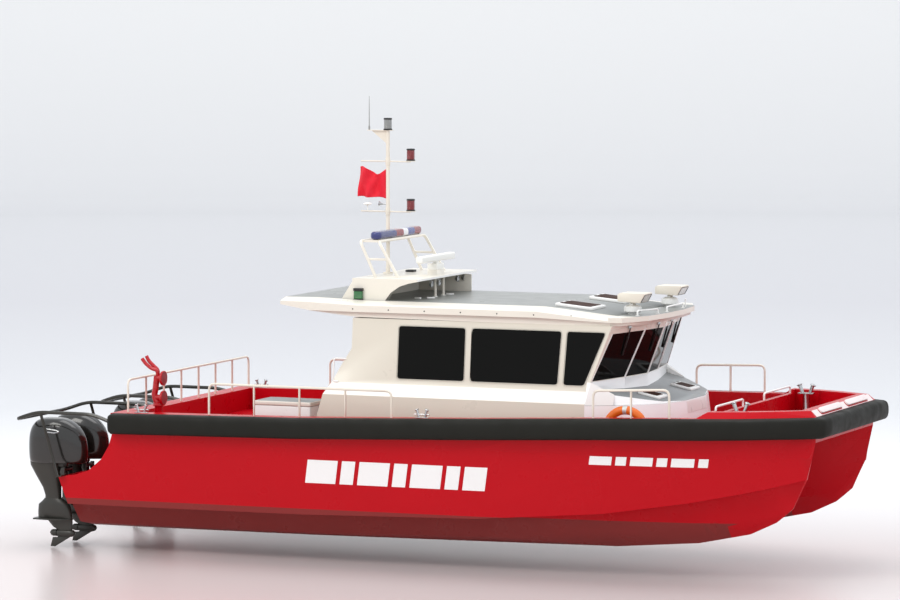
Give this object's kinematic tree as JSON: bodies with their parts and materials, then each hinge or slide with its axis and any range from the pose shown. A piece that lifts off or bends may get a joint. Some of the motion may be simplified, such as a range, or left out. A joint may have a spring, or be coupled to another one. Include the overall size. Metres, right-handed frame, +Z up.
{
  "type": "fire rescue catamaran",
  "caption": "Fire rescue catamaran: slim twin hulls, hollow deckhouse, stern outboards that tilt and steer, fire monitor, radar, searchlights, hatches and signal mast.",
  "frame": {"origin": "on the centreline at the waterline, close to the middle of the length", "axes": "+X forward along the length, +Y to port, +Z up"},
  "size_m": [13.0183, 5.1, 7.06],
  "materials": {
    "hull_paint": "gloss red enamel on aluminium plate",
    "fender_rubber": "moulded matt rubber",
    "white_paint": "satin white enamel",
    "house_paint": "satin warm white enamel",
    "dark_glass": "dark tinted safety glass",
    "white_plastic": "moulded white radome plastic",
    "lamp_plastic": "clear moulded lamp lenses, blue, red and white",
    "flag_cloth": "plain woven red flag cloth",
    "grey_paint": "grey powder coat",
    "stainless_steel": "brushed stainless steel",
    "life_ring_shell": "orange polyethylene shell",
    "monitor_paint": "red epoxy paint",
    "dark_paint": "dark grey paint",
    "engine_paint": "dark metallic engine paint"
  },
  "bodies": {
    "boat": {"hull": "hull_paint", "bulwark": "hull_paint", "fender": "fender_rubber", "foredeck_trunk": "white_paint", "deckhouse_side_starboard": "house_paint", "deckhouse_side_port": "house_paint", "deckhouse_front": "house_paint", "deckhouse_aft_wall": "house_paint", "roof": "house_paint", "side_glazing_starboard": "dark_glass", "side_glazing_port": "dark_glass", "windscreen_glazing": "dark_glass", "radar_platform": "house_paint", "arch": "house_paint", "light_bar": "lamp_plastic", "mast": "house_paint", "flag": "flag_cloth", "aft_locker_starboard": "white_paint", "aft_locker_port": "white_paint", "bow_bitt_starboard": "stainless_steel", "bow_bitt_port": "stainless_steel", "bow_grab_rail_starboard": "white_paint", "bow_grab_rail_port": "white_paint", "bow_rail_starboard": "house_paint", "bow_rail_port": "house_paint", "aft_rail_starboard": "house_paint", "aft_rail_port": "house_paint", "stern_rail": "house_paint", "life_ring": "life_ring_shell", "monitor_riser": "monitor_paint", "engine_guard_starboard": "dark_paint", "engine_guard_port": "dark_paint", "engine_mount_starboard": "dark_paint", "engine_mount_port": "dark_paint"},
    "door": {"aft_door": "white_paint"},
    "radar": {"radar_scanner": "white_plastic"},
    "searchlight_pan_starboard": {"searchlight_yoke_starboard": "white_paint"},
    "searchlight_pan_port": {"searchlight_yoke_port": "white_paint"},
    "searchlight_lamp_starboard": {"searchlight_head_starboard": "white_paint"},
    "searchlight_lamp_port": {"searchlight_head_port": "white_paint"},
    "roof_hatch_lid_starboard": {"roof_hatch_starboard": "dark_glass"},
    "roof_hatch_lid_port": {"roof_hatch_port": "dark_glass"},
    "trunk_hatch_lid_starboard": {"trunk_hatch_starboard": "dark_glass"},
    "trunk_hatch_lid_port": {"trunk_hatch_port": "dark_glass"},
    "monitor_head": {"monitor_body": "monitor_paint"},
    "monitor_nozzle": {"monitor_barrel": "monitor_paint"},
    "swivel_starboard_inner": {"swivel_bracket_starboard_inner": "dark_paint"},
    "swivel_starboard_outer": {"swivel_bracket_starboard_outer": "dark_paint"},
    "swivel_port_inner": {"swivel_bracket_port_inner": "dark_paint"},
    "swivel_port_outer": {"swivel_bracket_port_outer": "dark_paint"},
    "engine_starboard_inner": {"outboard_starboard_inner": "engine_paint"},
    "engine_starboard_outer": {"outboard_starboard_outer": "engine_paint"},
    "engine_port_inner": {"outboard_port_inner": "engine_paint"},
    "engine_port_outer": {"outboard_port_outer": "engine_paint"},
    "propeller_starboard_inner": {"propeller_hub_starboard_inner": "engine_paint"},
    "propeller_starboard_outer": {"propeller_hub_starboard_outer": "engine_paint"},
    "propeller_port_inner": {"propeller_hub_port_inner": "engine_paint"},
    "propeller_port_outer": {"propeller_hub_port_outer": "engine_paint"}
  },
  "joints": [
    {"name": "aft_door_hinge", "type": "hinge", "parent": "boat", "child": "door", "pos_m": [-1.204, 0.412, 1.9], "axis": [0, 0, -1], "range_deg": [0, 105]},
    {"name": "radar_spin", "type": "hinge", "parent": "boat", "child": "radar", "pos_m": [-0.46, 0, 3.76], "axis": [0, 0, 1], "continuous": true},
    {"name": "searchlight_pan_starboard", "type": "hinge", "parent": "boat", "child": "searchlight_pan_starboard", "pos_m": [3.1, -0.82, 3.14], "axis": [0, 0, 1], "continuous": true},
    {"name": "searchlight_tilt_starboard", "type": "hinge", "parent": "searchlight_pan_starboard", "child": "searchlight_lamp_starboard", "pos_m": [3.1, -0.82, 3.275], "axis": [0, 1, 0], "range_deg": [-25, 25]},
    {"name": "searchlight_pan_port", "type": "hinge", "parent": "boat", "child": "searchlight_pan_port", "pos_m": [3.1, 0.82, 3.14], "axis": [0, 0, 1], "continuous": true},
    {"name": "searchlight_tilt_port", "type": "hinge", "parent": "searchlight_pan_port", "child": "searchlight_lamp_port", "pos_m": [3.1, 0.82, 3.275], "axis": [0, 1, 0], "range_deg": [-25, 25]},
    {"name": "roof_hatch_hinge_starboard", "type": "hinge", "parent": "boat", "child": "roof_hatch_lid_starboard", "pos_m": [1.92, -0.72, 3.2646], "axis": [0, -1, 0], "range_deg": [0, 80]},
    {"name": "roof_hatch_hinge_port", "type": "hinge", "parent": "boat", "child": "roof_hatch_lid_port", "pos_m": [1.92, 0.72, 3.2646], "axis": [0, -1, 0], "range_deg": [0, 80]},
    {"name": "trunk_hatch_hinge_starboard", "type": "hinge", "parent": "boat", "child": "trunk_hatch_lid_starboard", "pos_m": [3.22, -0.72, 1.9615], "axis": [0, -1, 0], "range_deg": [0, 75]},
    {"name": "trunk_hatch_hinge_port", "type": "hinge", "parent": "boat", "child": "trunk_hatch_lid_port", "pos_m": [3.22, 0.72, 1.9615], "axis": [0, -1, 0], "range_deg": [0, 75]},
    {"name": "monitor_swivel", "type": "hinge", "parent": "boat", "child": "monitor_head", "pos_m": [-4.4, -1.72, 1.55], "axis": [0, 0, 1], "range_deg": [-170, 170]},
    {"name": "monitor_elevation", "type": "hinge", "parent": "monitor_head", "child": "monitor_nozzle", "pos_m": [-4.4, -1.72, 1.95], "axis": [0, 1, 0], "range_deg": [-35, 40]},
    {"name": "tilt_starboard_inner", "type": "hinge", "parent": "boat", "child": "swivel_starboard_inner", "pos_m": [-5.955, -1.07, 0.475], "axis": [0, 1, 0], "range_deg": [0, 65]},
    {"name": "tilt_starboard_outer", "type": "hinge", "parent": "boat", "child": "swivel_starboard_outer", "pos_m": [-5.955, -1.81, 0.475], "axis": [0, 1, 0], "range_deg": [0, 65]},
    {"name": "tilt_port_inner", "type": "hinge", "parent": "boat", "child": "swivel_port_inner", "pos_m": [-5.955, 1.07, 0.475], "axis": [0, 1, 0], "range_deg": [0, 65]},
    {"name": "tilt_port_outer", "type": "hinge", "parent": "boat", "child": "swivel_port_outer", "pos_m": [-5.955, 1.81, 0.475], "axis": [0, 1, 0], "range_deg": [0, 65]},
    {"name": "steer_starboard_inner", "type": "hinge", "parent": "swivel_starboard_inner", "child": "engine_starboard_inner", "pos_m": [-5.99, -1.07, 0.475], "axis": [0, 0, 1], "range_deg": [-30, 30]},
    {"name": "steer_starboard_outer", "type": "hinge", "parent": "swivel_starboard_outer", "child": "engine_starboard_outer", "pos_m": [-5.99, -1.81, 0.475], "axis": [0, 0, 1], "range_deg": [-30, 30]},
    {"name": "steer_port_inner", "type": "hinge", "parent": "swivel_port_inner", "child": "engine_port_inner", "pos_m": [-5.99, 1.07, 0.475], "axis": [0, 0, 1], "range_deg": [-30, 30]},
    {"name": "steer_port_outer", "type": "hinge", "parent": "swivel_port_outer", "child": "engine_port_outer", "pos_m": [-5.99, 1.81, 0.475], "axis": [0, 0, 1], "range_deg": [-30, 30]},
    {"name": "propeller_spin_starboard_inner", "type": "hinge", "parent": "engine_starboard_inner", "child": "propeller_starboard_inner", "pos_m": [-6.19, -1.07, -0.53], "axis": [1, 0, 0], "continuous": true},
    {"name": "propeller_spin_starboard_outer", "type": "hinge", "parent": "engine_starboard_outer", "child": "propeller_starboard_outer", "pos_m": [-6.19, -1.81, -0.53], "axis": [1, 0, 0], "continuous": true},
    {"name": "propeller_spin_port_inner", "type": "hinge", "parent": "engine_port_inner", "child": "propeller_port_inner", "pos_m": [-6.19, 1.07, -0.53], "axis": [1, 0, 0], "continuous": true},
    {"name": "propeller_spin_port_outer", "type": "hinge", "parent": "engine_port_outer", "child": "propeller_port_outer", "pos_m": [-6.19, 1.81, -0.53], "axis": [1, 0, 0], "continuous": true}
  ],
  "couplings": [
    {"joint": "steer_starboard_outer", "follows": "steer_starboard_inner", "ratio": 1},
    {"joint": "steer_port_inner", "follows": "steer_starboard_inner", "ratio": 1},
    {"joint": "steer_port_outer", "follows": "steer_starboard_inner", "ratio": 1}
  ]
}
